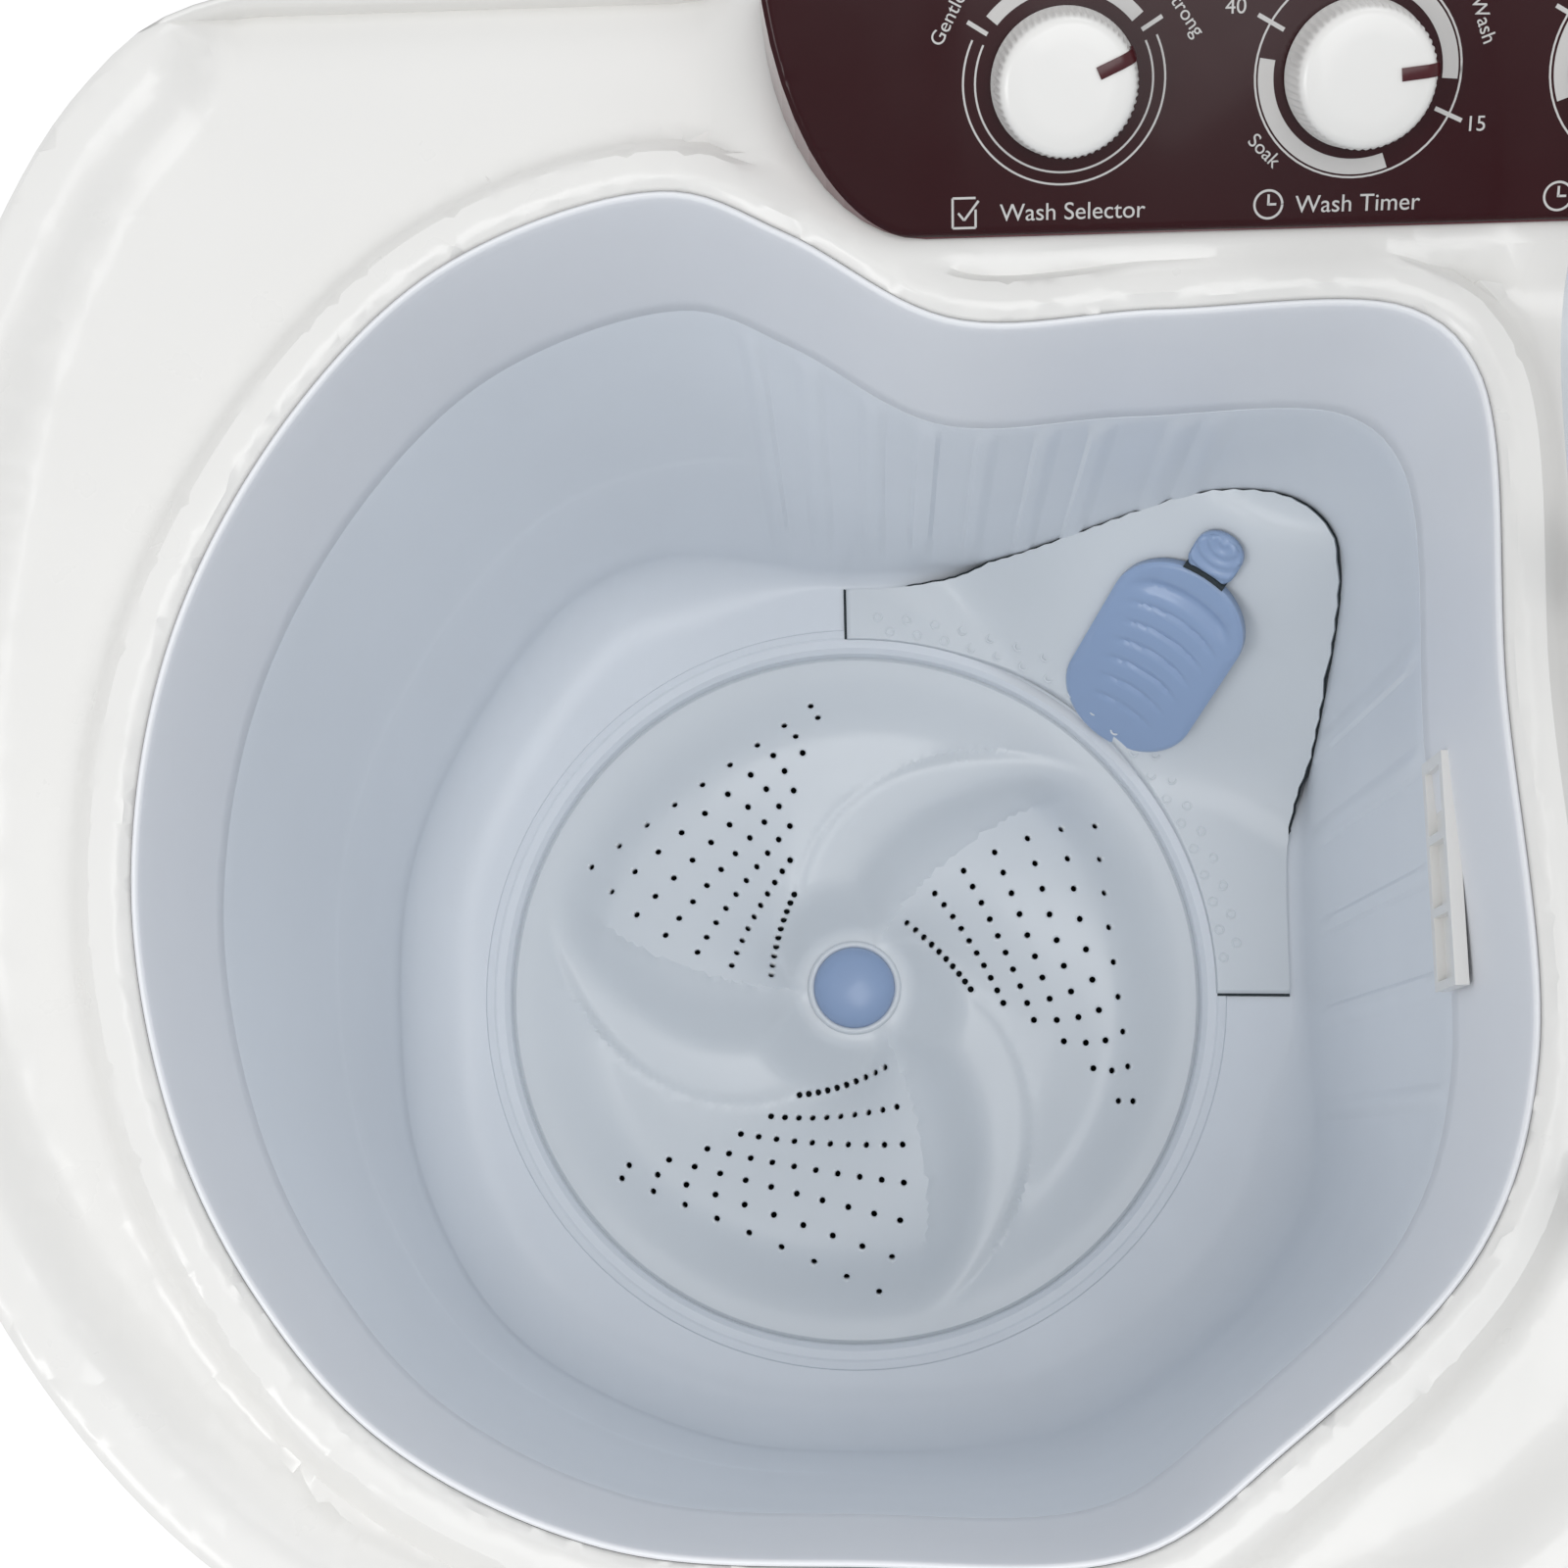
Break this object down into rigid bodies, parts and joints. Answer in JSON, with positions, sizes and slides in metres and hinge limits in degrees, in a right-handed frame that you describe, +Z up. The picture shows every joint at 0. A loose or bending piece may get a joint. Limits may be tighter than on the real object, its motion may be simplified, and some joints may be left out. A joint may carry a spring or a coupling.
{
  "type": "twin tub washer",
  "caption": "Twin tub washing machine with a pulsator wash tub, a spin basket, hinged lids and a sloping control panel.",
  "frame": {"origin": "middle of the plan's bounding box, on the floor under the feet", "axes": "+Z up, +X to the machine's right (spin side), +Y to its back (control panel)"},
  "size_m": [0.828, 0.545, 1.2734],
  "materials": {
    "white_shell": "satin",
    "tub_grey": "satin",
    "cover_grey": "satin",
    "blue_plastic": "satin",
    "wine_shell": "gloss",
    "fascia": "high gloss",
    "rubber": "matte",
    "steel": "brushed",
    "zinc": "satin",
    "dark_plastic": "matte",
    "clear_lid": "gloss"
  },
  "bodies": {
    "cabinet": {"back_cover": "wine_shell", "back_cover_screw_left": "zinc", "back_cover_screw_right": "zinc", "base_tray": "dark_plastic", "cabinet": "wine_shell", "cord_gland": "rubber", "drain_outlet": "dark_plastic", "drain_pipe": "dark_plastic", "drain_valve_body": "dark_plastic", "drive_belt": "rubber", "drive_frame": "zinc", "filter_cover": "cover_grey", "foot_left_back": "rubber", "foot_left_front": "rubber", "foot_right_back": "rubber", "foot_right_front": "rubber", "gearbox": "zinc", "overflow_grille": "white_shell", "panel_fascia": "fascia", "panel_housing": "wine_shell", "selector_switch": "dark_plastic", "shaft_seal": "rubber", "spin_bellows": "rubber", "spin_lid_pin_1": "steel", "spin_lid_pin_2": "steel", "spin_motor": "steel", "spin_motor_plate": "zinc", "spin_mount_1": "rubber", "spin_mount_2": "rubber", "spin_mount_3": "rubber", "spin_timer": "dark_plastic", "spin_tub": "tub_grey", "top_deck": "white_shell", "wash_lid_pin_1": "steel", "wash_lid_pin_2": "steel", "wash_motor": "steel", "wash_timer": "dark_plastic", "wash_tub": "tub_grey", "water_inlet": "white_shell"},
    "pulsator_drive": {"pulsator": "cover_grey", "pulsator_cap": "blue_plastic", "pulsator_screw": "steel", "wash_shaft": "steel", "wash_pulley": "zinc"},
    "motor_pulley": {"motor_pulley": "zinc"},
    "basket": {"spin_basket": "white_shell", "balance_ring": "tub_grey", "spin_cover": "clear_lid", "spin_shaft": "steel", "brake_drum": "zinc"},
    "brake_lever": {"brake_lever": "zinc"},
    "wash_lid": {"wash_lid": "clear_lid"},
    "spin_lid": {"spin_lid": "wine_shell"},
    "filter_flap": {"filter_flap": "blue_plastic", "lint_filter": "cover_grey"},
    "filter_latch": {"filter_latch": "blue_plastic"},
    "drain_plunger": {"drain_plunger": "white_shell"},
    "knob_selector": {"knob_selector": "white_shell"},
    "knob_wash_timer": {"knob_wash_timer": "white_shell"},
    "knob_spin_timer": {"knob_spin_timer": "white_shell"}
  },
  "joints": [
    {"name": "pulsator_spin", "type": "hinge", "parent": "cabinet", "child": "pulsator_drive", "pos_m": [-0.121, -0.0275, 0.5], "axis": [0, 0, 1], "continuous": true},
    {"name": "motor_pulley_spin", "type": "hinge", "parent": "cabinet", "child": "motor_pulley", "pos_m": [-0.291, -0.0175, 0.358], "axis": [0, 0, 1], "continuous": true},
    {"name": "basket_spin", "type": "hinge", "parent": "cabinet", "child": "basket", "pos_m": [0.262, -0.0275, 0.37], "axis": [0, 0, 1], "continuous": true},
    {"name": "wash_lid_hinge", "type": "hinge", "parent": "cabinet", "child": "wash_lid", "pos_m": [0.1, -0.0275, 0.83], "axis": [0, 1, 0], "range_deg": [-95, 0]},
    {"name": "spin_lid_hinge", "type": "hinge", "parent": "cabinet", "child": "spin_lid", "pos_m": [0.262, 0.158, 0.828], "axis": [-1, 0, 0], "range_deg": [0, 85]},
    {"name": "brake_lever_pivot", "type": "hinge", "parent": "cabinet", "child": "brake_lever", "pos_m": [0.32, 0.0425, 0.236], "axis": [0, 0, -1], "range_deg": [0, 1.4]},
    {"name": "filter_flap_hinge", "type": "hinge", "parent": "cabinet", "child": "filter_flap", "pos_m": [-0.01232, 0.07905, 0.51349], "axis": [0.8192, -0.5736, 0], "range_deg": [0, 60]},
    {"name": "filter_latch_slide", "type": "slide", "parent": "cabinet", "child": "filter_latch", "axis": [0.3196, 0.4565, 0.8303], "range_m": [0, 0.0015], "stiffness_N_per_m": 300},
    {"name": "drain_plunger_lift", "type": "slide", "parent": "cabinet", "child": "drain_plunger", "axis": [0, 0, 1], "range_m": [0, 0.012]},
    {"name": "selector_turn", "type": "hinge", "parent": "cabinet", "child": "knob_selector", "pos_m": [-0.0514, 0.21651, 0.84168], "axis": [0, 0.5299, -0.848], "range_deg": [0, 90]},
    {"name": "wash_timer_turn", "type": "hinge", "parent": "cabinet", "child": "knob_wash_timer", "pos_m": [0.0361, 0.21651, 0.84168], "axis": [0, 0.5299, -0.848], "range_deg": [0, 300]},
    {"name": "spin_timer_turn", "type": "hinge", "parent": "cabinet", "child": "knob_spin_timer", "pos_m": [0.1236, 0.21651, 0.84168], "axis": [0, 0.5299, -0.848], "range_deg": [0, 300]}
  ],
  "couplings": [
    {"joint": "motor_pulley_spin", "follows": "pulsator_spin", "ratio": 3.6667},
    {"joint": "brake_lever_pivot", "follows": "spin_lid_hinge", "ratio": 0.016471},
    {"joint": "selector_turn", "follows": "drain_plunger_lift", "rad_per_m": 130.9}
  ]
}
